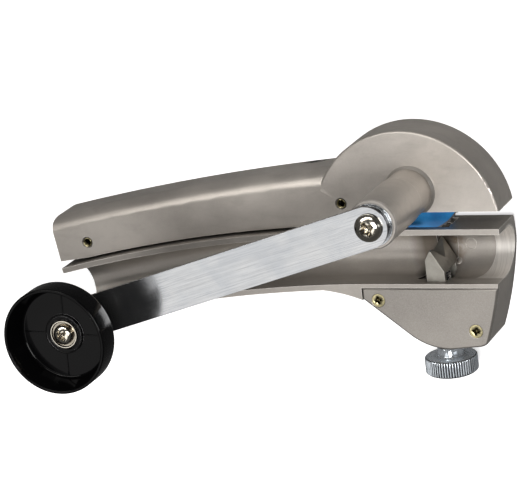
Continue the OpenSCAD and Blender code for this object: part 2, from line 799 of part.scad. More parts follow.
trough_body();
clamp_cover();
cover_screws();
thread_insert();
lever_shell();
guard_back_cover();
back_cover_screws();
boss_bushing();
rear_bushing();
pivot_screw();
pivot_spacers();
guide_screw();
crank_shaft();
cutter_blade();
blade_washer();
blade_nut();
flat_washer();
spring_washer();
crank_arm();
crank_screw();
knob_sleeve();
knob_screw();
knob_nut();
crank_knob();
clamp_jaw();
clamp_stud();
clamp_knob();
stud_clip();
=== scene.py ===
"""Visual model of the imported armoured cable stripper: finished shapes, materials, light and camera."""

import json
import math

import bmesh
import bpy
from mathutils import Matrix, Vector


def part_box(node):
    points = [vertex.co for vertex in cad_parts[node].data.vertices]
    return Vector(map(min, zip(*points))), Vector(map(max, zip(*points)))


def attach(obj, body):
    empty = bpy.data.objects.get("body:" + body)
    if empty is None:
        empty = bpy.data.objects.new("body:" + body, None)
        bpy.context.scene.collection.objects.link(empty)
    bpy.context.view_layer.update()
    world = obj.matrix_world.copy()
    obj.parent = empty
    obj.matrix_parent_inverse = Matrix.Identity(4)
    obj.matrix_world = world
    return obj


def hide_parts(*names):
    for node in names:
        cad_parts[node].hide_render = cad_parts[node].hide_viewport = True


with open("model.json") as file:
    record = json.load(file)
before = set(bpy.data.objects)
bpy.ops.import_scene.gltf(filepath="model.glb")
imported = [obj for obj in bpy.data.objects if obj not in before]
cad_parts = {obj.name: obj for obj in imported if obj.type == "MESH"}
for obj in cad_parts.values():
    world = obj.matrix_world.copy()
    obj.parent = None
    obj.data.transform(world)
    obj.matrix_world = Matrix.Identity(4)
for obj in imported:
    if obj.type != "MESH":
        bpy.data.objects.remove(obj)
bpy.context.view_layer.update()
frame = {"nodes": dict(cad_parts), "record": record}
nodes = frame["nodes"]
record = frame["record"]
scene = bpy.context.scene
MM = 0.001
BODY = {node: body for body, members in record["behaviour"]["bodies"].items() for node in members}
SLOT = {entry["node"]: entry["material_slot"] for entry in record["subparts"]}
CHANNEL_Y, CHANNEL_Z = -30.6, 14.1  # axis of the cable channel, which runs along X
CLAMP_X = 8.4  # the thumbscrew's axis runs along Y and crosses the channel's axis here
KNOB_DEPTH = 11.8  # from the knob's rim to its floor
WELD_CAD, WELD_THREAD, WELD_KNURL = 2e-6, 1e-6, 2e-5  # distances that count as the same point, in metres


# ---------------------------------------------------------------- materials

class Finish:
    """A node material on a Principled shader. Its textures are measured in the object's own space."""

    def __init__(self, name, **fixed):
        self.material = bpy.data.materials.new(name)
        self.material.use_nodes = True
        self.tree = self.material.node_tree
        self.shader = self.tree.nodes["Principled BSDF"]
        for socket, value in fixed.items():
            self.shader.inputs[socket.replace("_", " ")].default_value = value
        self.coords = self.add("ShaderNodeTexCoord").outputs["Object"]

    def add(self, kind, inputs=None, **settings):
        made = self.tree.nodes.new(kind)
        for key, value in settings.items():
            setattr(made, key, value)
        for key, value in (inputs or {}).items():
            if isinstance(value, bpy.types.NodeSocket):
                self.tree.links.new(value, made.inputs[key])
            else:
                made.inputs[key].default_value = value
        return made

    def link(self, socket, value):
        self.tree.links.new(value, self.shader.inputs[socket])

    def axis(self, index):
        return self.add("ShaderNodeSeparateXYZ", {0: self.coords}).outputs[index]

    def noise(self, per_mm, detail=4.0, rough=0.55, stretch=(1, 1, 1), turn=0.0, distortion=0.0):
        turned = self.add("ShaderNodeMapping", {"Vector": self.coords, "Rotation": (0, 0, turn)}).outputs[0]
        scaled = self.add("ShaderNodeMapping", {
            "Vector": turned, "Scale": tuple(s * per_mm / MM for s in stretch)})
        return self.add("ShaderNodeTexNoise", {
            "Vector": scaled.outputs[0], "Scale": 1.0, "Detail": detail, "Roughness": rough,
            "Distortion": distortion}).outputs["Fac"]

    def band(self, value, low, high, out_low=0.0, out_high=1.0):
        return self.add("ShaderNodeMapRange", {
            "Value": value, "From Min": low, "From Max": high,
            "To Min": out_low, "To Max": out_high}).outputs[0]

    def math(self, kind, a, b=0.0):
        return self.add("ShaderNodeMath", {0: a, 1: b}, operation=kind).outputs[0]

    def length(self, a, b):
        """Distance from an axis, out of the two coordinates across it."""
        return self.math("SQRT", self.math("ADD", self.math("POWER", a, 2.0), self.math("POWER", b, 2.0)))

    def mix(self, share, a, b):
        made = self.add("ShaderNodeMix", {0: share}, data_type="RGBA")
        for index, value in ((6, a), (7, b)):
            if isinstance(value, bpy.types.NodeSocket):
                self.tree.links.new(value, made.inputs[index])
            else:
                made.inputs[index].default_value = (*value, 1.0)
        return made.outputs[2]

    def bump(self, height, depth_mm, strength=1.0, normal=None):
        inputs = {"Height": height, "Distance": depth_mm * MM, "Strength": strength}
        if normal is not None:
            inputs["Normal"] = normal
        return self.add("ShaderNodeBump", inputs).outputs[0]

    def edges(self, radius_mm, soft=0.985, hard=0.86):
        """1 near a sharp edge, 0 on open faces."""
        rounded = self.add("ShaderNodeBevel", {"Radius": radius_mm * MM}, samples=4).outputs[0]
        flat = self.add("ShaderNodeNewGeometry").outputs["Normal"]
        agree = self.add("ShaderNodeVectorMath", {0: rounded, 1: flat}, operation="DOT_PRODUCT")
        return self.band(agree.outputs["Value"], soft, hard)

    def hollows(self, distance_mm, wide=0.75, tight=0.25):
        """1 in tight corners and holes, 0 in the open."""
        open_share = self.add("ShaderNodeAmbientOcclusion", {"Distance": distance_mm * MM}, samples=4)
        return self.band(open_share.outputs["AO"], wide, tight)

    def near(self, centre_mm, radius_mm, squash=(1, 1, 1)):
        """1 at a point, falling to 0 at a radius."""
        offset = self.add("ShaderNodeVectorMath", {
            0: self.coords, 1: tuple(c * MM for c in centre_mm)}, operation="SUBTRACT").outputs[0]
        scaled = self.add("ShaderNodeVectorMath", {0: offset, 1: squash}, operation="MULTIPLY").outputs[0]
        length = self.add("ShaderNodeVectorMath", {0: scaled}, operation="LENGTH").outputs["Value"]
        return self.band(length, radius_mm * MM, 0.0)


def cast_finish(name, tone=1.0, kind="plain"):
    """Satin die casting: fine grain, flow marks, handling stains, painted shade in hollows, and bright bare
    edges that are partly a painted highlight.
    """
    f = Finish(name, Metallic=0.7, IOR=1.6)
    cloud = f.noise(0.035, 5, 0.6)
    grain = f.noise(3.2, 3, 0.7)
    flow = f.noise(0.22, 4, 0.6, stretch=(0.35, 1, 1), distortion=0.6)
    light = tuple(c * tone for c in (0.50, 0.465, 0.425))
    dark = tuple(c * tone for c in (0.375, 0.345, 0.315))
    colour = f.mix(f.band(cloud, 0.32, 0.68), dark, light)
    colour = f.mix(f.band(grain, 0.35, 0.7, 0.0, 0.35), colour, (0.60, 0.57, 0.53))
    colour = f.mix(f.band(flow, 0.5, 0.72, 0.0, 0.28), colour, (0.30, 0.275, 0.25))
    fine = f.bump(grain, 0.035, 0.55)
    if kind == "trough":
        # brown grease under the jaw
        stain = f.math("MULTIPLY", f.near((8.4, -31.0, 1.5), 15.0, (1.5, 1, 1)),
                       f.band(f.noise(0.3, 4), 0.38, 0.6))
        colour = f.mix(f.math("MULTIPLY", stain, 1.3), colour, (0.20, 0.125, 0.06))
        # turned collar at the channel's right end, which ends on a slant: lathe rings on a lighter tone that
        # is a painted highlight
        inside = f.band(f.near((0, CHANNEL_Y, CHANNEL_Z), 12.4, (0, 1, 1)), 0.0, 0.03)
        slanted = f.math("ADD", f.axis(0), f.math("MULTIPLY", f.axis(2), 0.355))
        turned = f.math("MULTIPLY", inside, f.band(slanted, 0.0323, 0.0327))
        rings = f.noise(2.4, 2, 0.6, stretch=(1, 0.02, 0.02))
        # painted highlight: the collar is lightened
        colour = f.mix(f.math("MULTIPLY", turned, 0.8), colour, (0.78, 0.75, 0.71))
        lathed = f.math("MULTIPLY", turned, f.band(rings, 0.4, 0.7, 0.0, 0.35))
        colour = f.mix(lathed, colour, (0.3, 0.28, 0.26))
        # painted shade in the window, round the jaw and to the left: hollows darkened, dark spots beside the
        # blade's teeth and below-left of the jaw, and a darker patch on the channel floor by the jaw
        colour = f.mix(f.math("MULTIPLY", f.hollows(9.0), 0.85), colour, (0.07, 0.06, 0.05))
        for centre, radius, depth in (((12.6, -18.2, 8.0), 3.6, 0.3), ((1.5, -41.0, 12.0), 7.0, 0.7)):
            colour = f.mix(f.band(f.near(centre, radius), 0.0, depth), colour, (0.03, 0.028, 0.025))
        floor_shade = f.math("MULTIPLY", f.near((3.0, -29.0, 3.0), 13.0, (1, 0.6, 1)), 1.8)
        colour = f.mix(floor_shade, colour, (0.12, 0.10, 0.08))
        # painted shadow of the arm and knob: darker towards the channel's left end
        colour = f.mix(f.band(f.axis(0), -0.03, -0.15, 0.0, 0.4), colour, (0.17, 0.155, 0.14))
    else:
        # painted shade: darker in hollows and corners found by ambient occlusion
        colour = f.mix(f.math("MULTIPLY", f.hollows(5.0), 0.45), colour, (0.16, 0.14, 0.12))
    if kind == "lever":
        # painted shade: the lever darkens towards its left end
        colour = f.mix(f.band(f.axis(0), -0.05, -0.18, 0.0, 0.35), colour, (0.24, 0.22, 0.2))
        nick = f.math("MULTIPLY", f.band(f.near((-51.5, 9.5, 1.2), 4.2, (0.6, 1, 1)), 0.0, 0.4),
                      f.band(f.noise(0.9, 3, 0.7), 0.42, 0.5))
        colour = f.mix(nick, colour, (0.03, 0.028, 0.025))
    # bare metal at the edges, lightened further as a painted highlight, and smoother there
    edge_wear_and_highlight = f.math("MULTIPLY", f.edges(0.5), f.band(f.noise(0.5, 3), 0.3, 0.6, 0.35, 1.0))
    colour = f.mix(edge_wear_and_highlight, colour, (0.86, 0.83, 0.79))
    f.link("Base Color", colour)
    rough = f.math("ADD", f.band(cloud, 0.3, 0.7, 0.36, 0.46), f.band(grain, 0.3, 0.7, -0.04, 0.05))
    f.link("Roughness", f.math("SUBTRACT", rough, f.math("MULTIPLY", edge_wear_and_highlight, 0.12)))
    f.link("Normal", f.bump(flow, 0.05, 0.15, fine))
    return f.material


def brushed_finish(name, turn, colour_a, colour_b, rough, stretch, lines, bare=1.0, dark_sides=False):
    """Plated steel with fine lines one way and faint smudges; either a painted highlight along its edges, or
    near-black narrow sides.
    """
    f = Finish(name, Metallic=bare)
    line = f.noise(lines, 3, 0.7, stretch=stretch, turn=turn)
    smudge = f.noise(0.07, 4, 0.6, distortion=0.4)
    colour = f.mix(f.band(smudge, 0.35, 0.65), colour_a, colour_b)
    colour = f.mix(f.band(line, 0.42, 0.72, 0.0, 0.6), colour, tuple(0.6 * c for c in colour_a))
    if dark_sides:
        # faces turned across Z, the arm's narrow sides, are made nearly black
        normal = f.add("ShaderNodeNewGeometry").outputs["Normal"]
        facing = f.add("ShaderNodeSeparateXYZ", {0: normal}).outputs[2]
        colour = f.mix(f.band(f.math("ABSOLUTE", facing), 0.6, 0.2), colour, (0.035, 0.035, 0.04))
    else:
        # painted highlight: edges are lightened
        colour = f.mix(f.math("MULTIPLY", f.edges(0.35), 0.8), colour, (0.95, 0.95, 0.94))
    f.link("Base Color", colour)
    f.link("Roughness", f.math("ADD", f.band(smudge, 0.3, 0.7, *rough), f.band(line, 0.3, 0.7, -0.04, 0.06)))
    f.link("Normal", f.bump(line, 0.012, 0.5))
    return f.material


def bright_finish(name, colour, rough, tarnish_and_shade, bare=1.0, knurl=False):
    """Smooth plated metal with light haze, painted shade tinted like tarnish in its recesses, and a
    near-black painted band in the thumbscrew's knurl.
    """
    f = Finish(name, Metallic=bare)
    haze = f.noise(0.5, 4, 0.6)
    fine = f.noise(5.0, 3, 0.6)
    tone = f.mix(f.band(haze, 0.35, 0.7, 0.0, 0.35), colour, tuple(0.8 * c for c in colour))
    # painted shade: recesses such as the cross recess are darkened
    tone = f.mix(f.hollows(3.0, 0.88, 0.5), tone, tuple(0.2 * c for c in tarnish_and_shade))
    if knurl:
        # painted shade: a near-black band from 11.3 to 11.95 mm off the thumbscrew's axis, over the knurl's
        # groove bottoms and bevelled rims
        across = f.math("ADD", f.axis(0), -CLAMP_X * MM)
        deep = f.math("ADD", f.axis(2), -CHANNEL_Z * MM)
        radius = f.length(across, deep)
        rim = f.band(radius, 0.0113, 0.0116)
        tone = f.mix(f.math("MULTIPLY", rim, f.band(radius, 0.01195, 0.0117)), tone, (0.02, 0.02, 0.02))
    f.link("Base Color", tone)
    f.link("Roughness", f.band(haze, 0.3, 0.7, rough * 0.7, rough * 1.5))
    f.link("Normal", f.bump(fine, 0.006, 0.4))
    return f.material


def plastic_finish(name, glint_share=0.8):
    """Gloss black moulding with a faint orange peel, dust, and painted highlights in places along its edges.
    """
    f = Finish(name, Metallic=0.0, IOR=1.2)
    peel = f.noise(0.45, 3, 0.5)
    dust = f.noise(2.2, 4, 0.7)
    colour = f.mix(f.band(dust, 0.6, 0.78, 0.0, 0.25), (0.002, 0.002, 0.0022), (0.011, 0.011, 0.012))
    # painted highlight: light patches along the edges stand for glints on the rims
    edge_wear_and_highlight = f.math("MULTIPLY", f.edges(0.35, 0.97, 0.8), f.band(f.noise(0.1, 2), 0.45, 0.6, 0.0, glint_share))
    f.link("Base Color", f.mix(edge_wear_and_highlight, colour, (0.3, 0.3, 0.31)))
    f.link("Roughness", f.band(dust, 0.35, 0.75, 0.04, 0.12))
    f.link("Normal", f.bump(peel, 0.03, 0.35))
    return f.material


def blade_finish(name):
    """Blue coating that is thin and scratched, with ground metal at the teeth."""
    f = Finish(name, Metallic=0.35, Coat_Weight=0.35, Coat_Roughness=0.2)
    scratch = f.noise(2.5, 4, 0.7, stretch=(1, 0.08, 1), turn=0.4)
    cloud = f.noise(0.12, 3)
    colour = f.mix(f.band(cloud, 0.35, 0.65), (0.006, 0.15, 0.42), (0.012, 0.225, 0.56))
    colour = f.mix(f.band(scratch, 0.62, 0.8, 0.0, 0.35), colour, (0.12, 0.4, 0.72))
    teeth = f.band(f.length(f.axis(0), f.axis(1)), 0.0210, 0.0213)
    f.link("Base Color", f.mix(teeth, colour, (0.09, 0.09, 0.095)))
    f.link("Roughness", f.band(scratch, 0.3, 0.7, 0.3, 0.42))
    f.link("Normal", f.bump(scratch, 0.01, 0.4))
    return f.material


def sintered_finish(name):
    """Light sintered steel: matte grain, small pores, and bright edges that are partly wear and partly a
    painted highlight.
    """
    f = Finish(name, Metallic=0.8)
    pores = f.noise(4.5, 4, 0.75)
    cloud = f.noise(0.25, 4)
    colour = f.mix(f.band(cloud, 0.35, 0.65), (0.28, 0.265, 0.235), (0.36, 0.345, 0.31))
    colour = f.mix(f.band(pores, 0.58, 0.75, 0.0, 0.6), colour, (0.2, 0.185, 0.165))
    # bright edges: partly wear, partly a painted highlight
    edge_wear_and_highlight = f.edges(0.3)
    f.link("Base Color", f.mix(edge_wear_and_highlight, colour, (0.92, 0.91, 0.89)))
    f.link("Roughness", f.band(pores, 0.3, 0.7, 0.38, 0.55))
    f.link("Normal", f.bump(pores, 0.03, 0.6))
    return f.material


CRANK_TURN = math.radians(16.5)
CAST = cast_finish("cast_metal")
# painted shade: the cover's and the trough's copies of the casting are toned darker (0.62 and 0.84) to stand
# for less light on them
CAST_COVER_SHADED = cast_finish("cast_metal_cover_shaded", tone=0.62)
CAST_LEVER = cast_finish("cast_metal_lever", kind="lever")
CAST_TROUGH = cast_finish("cast_metal_trough", tone=0.84, kind="trough")
ARM_ZINC = brushed_finish("arm_zinc", -CRANK_TURN, (0.47, 0.485, 0.505), (0.55, 0.555, 0.56), (0.10, 0.16),
                          (0.015, 1, 1), 3.0, 0.97, dark_sides=True)
TURNED_ZINC = brushed_finish("turned_zinc", 0.0, (0.40, 0.42, 0.44), (0.52, 0.54, 0.56), (0.14, 0.24),
                             (1, 1, 1), 1.6)
NICKEL = bright_finish("nickel", (0.88, 0.83, 0.72), 0.13, (0.3, 0.2, 0.1))
CHROME_ZINC = bright_finish("bright_zinc", (0.78, 0.84, 0.90), 0.12, (0.1, 0.1, 0.1), 0.72, knurl=True)
YELLOW = bright_finish("yellow_zinc", (0.46, 0.41, 0.24), 0.3, (0.24, 0.19, 0.08))
BRONZE = bright_finish("bronze", (0.62, 0.44, 0.24), 0.3, (0.4, 0.28, 0.12))
BLACK = plastic_finish("black_plastic")
BLACK_RIBS = plastic_finish("black_plastic_ribs", 0.0)
BLUE = blade_finish("blade_blue")
SINTERED = sintered_finish("sintered_steel")
BY_SLOT = {
    "cast_metal": CAST, "plated_steel": TURNED_ZINC, "nickel": NICKEL, "yellow_zinc": YELLOW,
    "bronze": BRONZE, "blade_blue": BLUE, "sintered_steel": SINTERED, "black_plastic": BLACK,
}


def dress(obj, material):
    obj.data.materials.clear()
    obj.data.materials.append(material)


for node, slot in SLOT.items():
    dress(nodes[node], BY_SLOT[slot])


# ---------------------------------------------------------------- mesh tools

def new_object(name, bm, smooth_deg=35.0):
    mesh = bpy.data.meshes.new(name)
    bm.to_mesh(mesh)
    bm.free()
    mesh.shade_smooth()
    mesh.set_sharp_from_angle(angle=math.radians(smooth_deg))
    obj = bpy.data.objects.new(name, mesh)
    scene.collection.objects.link(obj)
    return obj


def apply_modifiers(obj):
    depsgraph = bpy.context.evaluated_depsgraph_get()
    mesh = bpy.data.meshes.new_from_object(obj.evaluated_get(depsgraph), preserve_all_data_layers=True,
                                           depsgraph=depsgraph)
    old = obj.data
    obj.modifiers.clear()
    obj.data = mesh
    bpy.data.meshes.remove(old)
    return obj


def bevel(obj, width_mm, angle_deg=35.0, harden=True):
    made = obj.modifiers.new("edge", "BEVEL")
    made.width = width_mm * MM
    made.segments = 2
    made.limit_method = "ANGLE"
    made.angle_limit = math.radians(angle_deg)
    made.harden_normals = harden
    made.use_clamp_overlap = True
    return apply_modifiers(obj)


def finish_piece(obj, body, slot, material, *replaced):
    dress(obj, material)
    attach(obj, body)
    if replaced:
        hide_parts(*replaced)


def stand_in(obj, node, material):
    """Takes the place of a CAD node: same body."""
    finish_piece(obj, BODY[node], SLOT[node], material, node)


def even_shading(obj, flat_deg=0.2, smooth_deg=50.0):
    """Shades flats as flat and roundings as round: at each corner the larger surfaces decide the normal."""
    bm = bmesh.new()
    bm.from_mesh(obj.data)
    flat, smooth = (math.cos(math.radians(angle)) for angle in (flat_deg, smooth_deg))
    owner, normals, areas = {}, [], []
    for seed in bm.faces:
        if seed in owner:
            continue
        owner[seed] = len(normals)
        waiting, area = [seed], 0.0
        while waiting:
            face = waiting.pop()
            area += face.calc_area()
            for other in (found for edge in face.edges for found in edge.link_faces):
                if other not in owner and other.normal.dot(seed.normal) > flat:
                    owner[other] = len(normals)
                    waiting.append(other)
        normals.append(seed.normal.copy())
        areas.append(area)
    corners = []
    for face in bm.faces:
        own = normals[owner[face]]
        for vert in face.verts:
            near = {owner[other] for other in vert.link_faces}
            total = sum((normals[i] * areas[i] for i in near if normals[i].dot(own) > smooth), Vector())
            corners.append(total.normalized() if total.length > 0 else own)
    bm.free()
    obj.data.shade_smooth()
    obj.data.normals_split_custom_set(corners)


def finished_copy(node, width_mm, material, split=False):
    """A copy of a CAD node with really rounded edges, which stands for it. split divides wide flats first."""
    bm = bmesh.new()
    bm.from_mesh(nodes[node].data)
    bmesh.ops.remove_doubles(bm, verts=bm.verts, dist=WELD_CAD)
    bmesh.ops.dissolve_limit(bm, angle_limit=math.radians(0.1), verts=bm.verts, edges=bm.edges)
    if split:
        wide = [face for face in bm.faces if len(face.verts) > 8]
        bmesh.ops.triangulate(bm, faces=wide, quad_method="BEAUTY", ngon_method="BEAUTY")
    obj = bevel(new_object(node + "_finished", bm), width_mm, harden=False)
    even_shading(obj)
    stand_in(obj, node, material)


def lathe(profile_mm, segments, close=False):
    """Turns (radius, height) points about Z. A radius of 0 closes the end."""
    bm = bmesh.new()
    rings = []
    for radius, height in profile_mm:
        if radius <= 0:
            rings.append([bm.verts.new((0, 0, height * MM))])
        else:
            rings.append([bm.verts.new((radius * MM * math.cos(2 * math.pi * i / segments),
                                        radius * MM * math.sin(2 * math.pi * i / segments), height * MM))
                          for i in range(segments)])
    pairs = list(zip(rings, rings[1:])) + ([(rings[-1], rings[0])] if close else [])
    for low, high in pairs:
        for i in range(segments):
            j = (i + 1) % segments
            corners = [low[i % len(low)], low[j % len(low)], high[j % len(high)], high[i % len(high)]]
            unique = list(dict.fromkeys(corners))
            if len(unique) > 2:
                bm.faces.new(unique)
    bmesh.ops.recalc_face_normals(bm, faces=bm.faces)
    return bm


def arc(cx, cy, r, start_deg, end_deg, steps):
    return [(cx + r * math.cos(math.radians(start_deg + (end_deg - start_deg) * i / steps)),
             cy + r * math.sin(math.radians(start_deg + (end_deg - start_deg) * i / steps)))
            for i in range(steps + 1)]


def cut(obj, cutter):
    made = obj.modifiers.new("cut", "BOOLEAN")
    made.object = cutter
    made.operation = "DIFFERENCE"
    made.solver = "EXACT"
    apply_modifiers(obj)
    bpy.data.objects.remove(cutter)


def cross_cutter(head_r, top_mm, depth_mm):
    """Tapered cross for a Phillips recess, below a head's top."""
    long, wide = 0.56 * head_r, 0.13 * head_r
    outline = []
    for turn in range(4):
        c, s = [(1, 0), (0, 1), (-1, 0), (0, -1)][turn]
        for x, y in ((long, -wide), (long, wide), (wide * 1.9, wide * 1.9)):
            outline.append((x * c - y * s, x * s + y * c))
    bm = bmesh.new()
    levels = []
    for height, scale in ((top_mm + 0.6, 1.1), (top_mm - 0.15 * depth_mm, 1.0),
                          (top_mm - 0.8 * depth_mm, 0.5), (top_mm - depth_mm, 0.05)):
        levels.append([bm.verts.new((x * scale * MM, y * scale * MM, height * MM)) for x, y in outline])
    for low, high in zip(levels, levels[1:]):
        for i in range(len(outline)):
            j = (i + 1) % len(outline)
            bm.faces.new((low[i], low[j], high[j], high[i]))
    bm.faces.new(levels[0])
    bm.faces.new(levels[-1])
    bmesh.ops.recalc_face_normals(bm, faces=bm.faces)
    return new_object("cutter", bm)


def thread_profile(major, pitch):
    minor = major - 0.58 * pitch
    return [(0.0, minor), (0.12, minor), (0.44, major), (0.62, major), (0.94, minor)]


def threaded_rod(major, pitch, low, high, segments):
    """A rod with a real helical thread from low to high along Z, in millimetres, chamfered at both ends."""
    end_chamfer = 0.9
    steps = thread_profile(major, pitch)
    turns = int((high - low) / pitch) + 2
    columns = []
    bm = bmesh.new()
    for i in range(segments):
        angle = 2 * math.pi * i / segments
        column = []
        for turn in range(-1, turns + 1):
            for share, radius in steps:
                z = low + (turn + share + i / segments) * pitch
                z = min(max(z, low), high)
                r = min(radius, major - end_chamfer + min(z - low, high - z))
                column.append(bm.verts.new((r * MM * math.cos(angle), r * MM * math.sin(angle), z * MM)))
        columns.append(column)
    per_turn = len(steps)
    for i in range(segments):
        here, there = columns[i], columns[(i + 1) % segments]
        shift = per_turn if i == segments - 1 else 0
        for k in range(len(here) - 1 - shift):
            bm.faces.new((here[k], there[k + shift], there[k + 1 + shift], here[k + 1]))
    bmesh.ops.remove_doubles(bm, verts=bm.verts, dist=WELD_THREAD)
    bmesh.ops.holes_fill(bm, edges=bm.edges, sides=0)
    bmesh.ops.recalc_face_normals(bm, faces=bm.faces)
    return bm


def place(bm, matrix):
    bmesh.ops.transform(bm, matrix=matrix, verts=bm.verts)
    return bm


def shift_mm(x, y, z=0.0):
    return Matrix.Translation((x * MM, y * MM, z * MM))


def box_mm(node):
    """Both corners of a CAD node's box, in millimetres."""
    return [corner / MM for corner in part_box(node)]


def span_mm(node, axis):
    """Lowest and highest coordinate of a CAD node along an axis, in millimetres."""
    return [corner[axis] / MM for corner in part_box(node)]


def centre_of(node):
    low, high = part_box(node)
    return (low + high) / 2


# ---------------------------------------------------------------- finished CAD shapes

finished_copy("trough_body", 0.45, CAST_TROUGH)
finished_copy("clamp_cover", 0.25, CAST_COVER_SHADED)
finished_copy("lever_shell", 0.5, CAST_LEVER, split=True)
finished_copy("guard_back_cover", 0.3, CAST)
finished_copy("clamp_jaw", 0.25, SINTERED)
finished_copy("crank_arm", 0.15, ARM_ZINC)
for node in ("flat_washer", "spring_washer", "blade_washer", "blade_nut", "knob_nut", "crank_shaft"):
    finished_copy(node, 0.15, TURNED_ZINC)


# ---------------------------------------------------------------- screws

def pan_head(node, head_r, head_h, shank_r, slot_deg):
    """Domed cross-recess screw that stands for a CAD one: same head, same shank."""
    low, high = box_mm(node)
    seat = high.z - head_h
    band = 0.22 * head_h
    profile = [(0, low.z), (shank_r - 0.3, low.z), (shank_r, low.z + 0.4), (shank_r, seat),
               (head_r - 0.25, seat), (head_r, seat + 0.2), (head_r, seat + band)]
    for angle in (math.radians(a) for a in range(8, 90, 8)):
        profile.append((head_r * math.cos(angle), seat + band + (head_h - band) * math.sin(angle)))
    profile.append((0, high.z))
    obj = new_object(node + "_detailed", lathe(profile, 72), 50)
    cut(obj, cross_cutter(head_r, high.z, 0.5 * head_r))
    bevel(obj, 0.07, angle_deg=40)
    centre = centre_of(node) / MM
    obj.data.transform(shift_mm(centre.x, centre.y) @ Matrix.Rotation(math.radians(slot_deg), 4, "Z"))
    stand_in(obj, node, NICKEL)


def flush_head(name, node, centre_mm, head_r, shank_r, top, tip, slot_turn, facing=1):
    """Countersunk threaded cross-recess screw that stands for a CAD one: face at top, point at tip."""
    length = abs(top - tip)
    cone = head_r - shank_r
    head = lathe([(0, -cone - 1.0), (shank_r, -cone - 1.0), (shank_r, -cone), (head_r - 0.05, -0.25),
                  (head_r, -0.12), (head_r - 0.12, 0.0), (0, 0.0)], 56)
    obj = new_object(name, head, 40)
    cut(obj, cross_cutter(head_r, 0.0, 0.55 * head_r))
    bevel(obj, 0.06, angle_deg=40)
    shank = threaded_rod(shank_r, 0.7, -length, -cone - 0.9, 28)
    shank_mesh = bpy.data.meshes.new(name + "_shank")
    shank.to_mesh(shank_mesh)
    shank.free()
    whole = bmesh.new()
    whole.from_mesh(obj.data)
    whole.from_mesh(shank_mesh)
    bpy.data.meshes.remove(shank_mesh)
    flip = Matrix.Identity(4) if facing > 0 else Matrix.Rotation(math.pi, 4, "X")
    place(whole, shift_mm(*centre_mm, top) @ flip @ Matrix.Rotation(slot_turn, 4, "Z"))
    old = obj.data
    obj.data = bpy.data.meshes.new(name)
    whole.to_mesh(obj.data)
    whole.free()
    obj.data.shade_smooth()
    obj.data.set_sharp_from_angle(angle=math.radians(40))
    bpy.data.meshes.remove(old)
    stand_in(obj, node, YELLOW)


def tapped_sleeve():
    """Short thread that shows inside a tapped hole in the lever's face."""
    bore_r, crest_r, root_r, low, high, pitch = 2.14, 2.02, 1.7, 19.6, 21.85, 0.55
    ridges = []
    for step in range(4):
        z = 19.75 + pitch * step
        ridges += [(crest_r, z), (root_r, z + 0.27)]
    profile = [(bore_r, low), (bore_r, high), (crest_r, high + 0.05)] + ridges[::-1] + [(crest_r, low)]
    return lathe(profile, 40, close=True)


pan_head("crank_screw", head_r=6.3, head_h=3.4, shank_r=2.5, slot_deg=28)
pan_head("knob_screw", head_r=4.6, head_h=2.6, shank_r=2.5, slot_deg=40)
for index, (x, y, spin) in enumerate(((-19.0, -50.0, 12), (26.1, -64.5, -14))):
    flush_head(f"cover_screw_{index}", "cover_screws", (x, y), head_r=3.2, shank_r=1.6, top=26.95, tip=14.95,
               slot_turn=math.radians(spin))
GUARD = (-3.2, -16.5)
POST_REACH = 39.3
for index, angle in enumerate((22, 90, 158)):
    at = (GUARD[0] + POST_REACH * math.cos(math.radians(angle)),
          GUARD[1] + POST_REACH * math.sin(math.radians(angle)))
    flush_head(f"back_cover_screw_{index}", "back_cover_screws", at, head_r=2.6, shank_r=1.6, top=0.05,
               tip=7.05, slot_turn=math.radians(31 * index), facing=-1)
PINS = {"pivot_screw": (-165.0, -23.2), "guide_screw": (-33.6, -5.5)}
for node, at in PINS.items():
    flush_head(node + "_detailed", node, at, head_r=4.2, shank_r=2.1, top=0.2, tip=span_mm(node, 2)[1],
               slot_turn=0.5, facing=-1)
    sleeve = place(tapped_sleeve(), shift_mm(*at))
    finish_piece(new_object(node + "_thread", sleeve, 30), BODY[node], SLOT[node], YELLOW)


# ---------------------------------------------------------------- knob sleeve

def sleeve_with_rim():
    """Flanged sleeve of the knob, whose flange is dished and keeps a thin rim."""
    low, high = box_mm("knob_sleeve")
    centre = (low + high) / 2
    flange_r = (high.x - low.x) / 2
    bore, barrel = 2.55, 3.95
    profile = [(bore, low.z), (barrel, low.z), (barrel, high.z - 1.2), (flange_r - 0.15, high.z - 1.2),
               (flange_r, high.z - 1.05), (flange_r, high.z - 0.2), (flange_r - 0.15, high.z - 0.03),
               (flange_r - 0.4, high.z - 0.03), (flange_r - 0.55, high.z - 0.2),
               (flange_r - 0.75, high.z - 0.75), (4.7, high.z - 0.75), (4.6, high.z), (bore, high.z)]
    return place(lathe(profile, 72, close=True), shift_mm(centre.x, centre.y))


stand_in(new_object("knob_sleeve_detailed", sleeve_with_rim(), 40), "knob_sleeve", NICKEL)

# ---------------------------------------------------------------- thumbscrew

TO_CLAMP = shift_mm(CLAMP_X, 0, CHANNEL_Z) @ Matrix.Rotation(-math.pi / 2, 4, "X")


